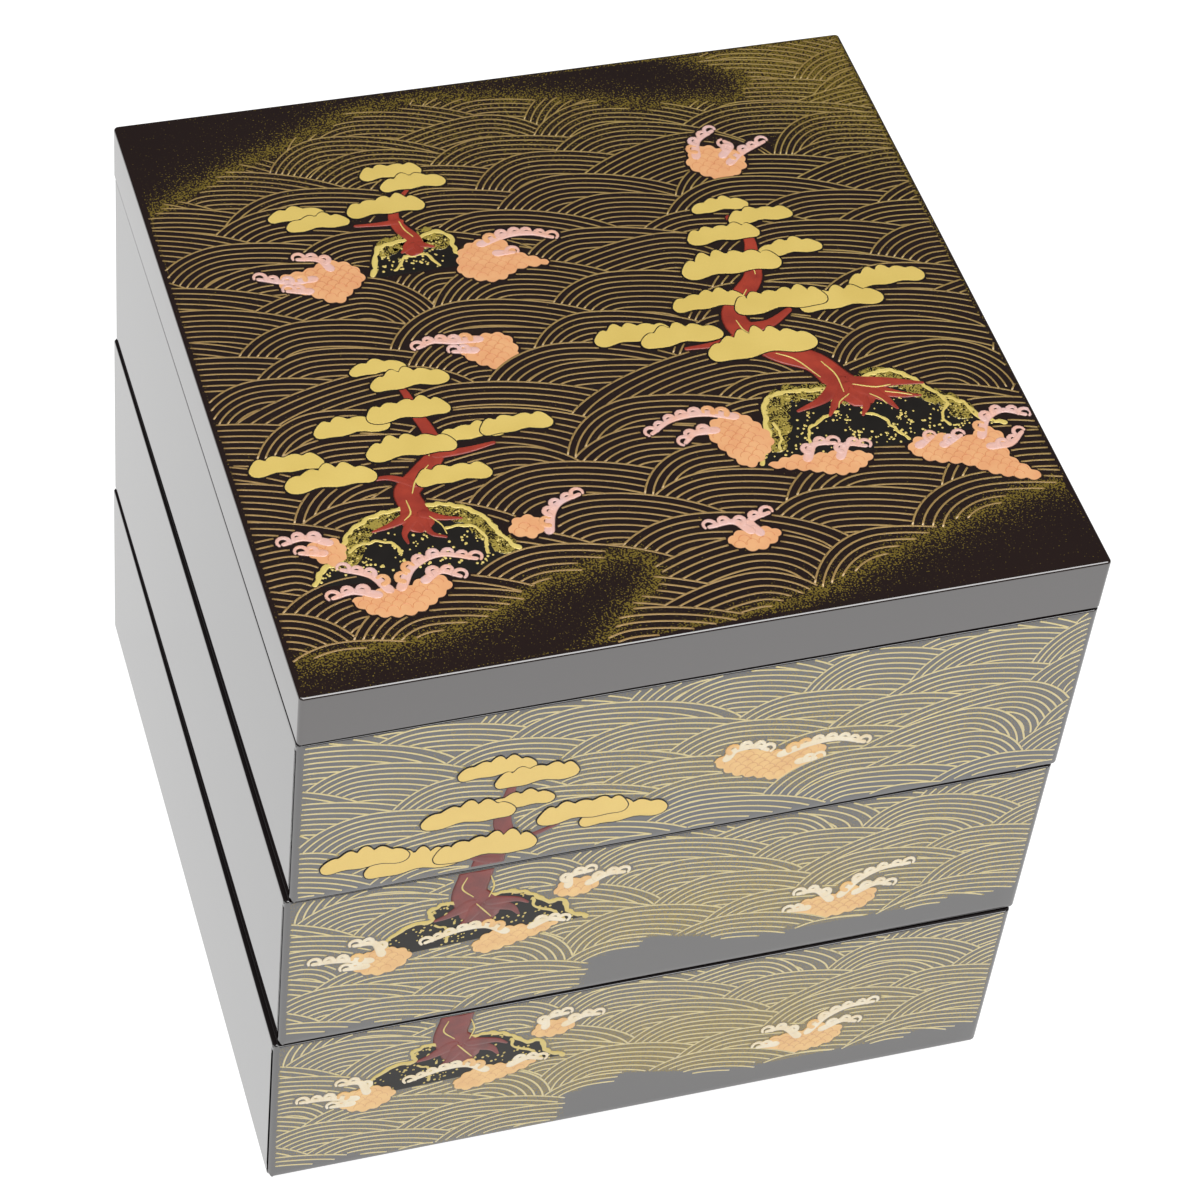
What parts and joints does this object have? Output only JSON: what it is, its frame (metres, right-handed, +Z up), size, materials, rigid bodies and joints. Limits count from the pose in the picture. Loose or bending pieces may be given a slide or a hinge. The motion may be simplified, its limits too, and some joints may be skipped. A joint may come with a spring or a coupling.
{
  "type": "tiered lacquer box",
  "caption": "Stack of square glossy lacquer food tiers that nest one on another under a flat lift-off lid, with pines, rocks and waves in gold on dark lacquer.",
  "frame": {"origin": "middle of the bottom tier's foot, on the surface that the box stands on", "axes": "+Z up, -Y to the decorated front, +X to the right seen from the front"},
  "size_m": [0.1983, 0.1976, 0.1922],
  "materials": {
    "tier_lacquer": "gloss",
    "lid_lacquer": "gloss",
    "gold_work": "satin",
    "colour_work": "satin"
  },
  "bodies": {
    "root": {"bottom_tier": "tier_lacquer", "middle_tier": "tier_lacquer", "top_tier": "tier_lacquer", "lid": "lid_lacquer"}
  },
  "joints": []
}
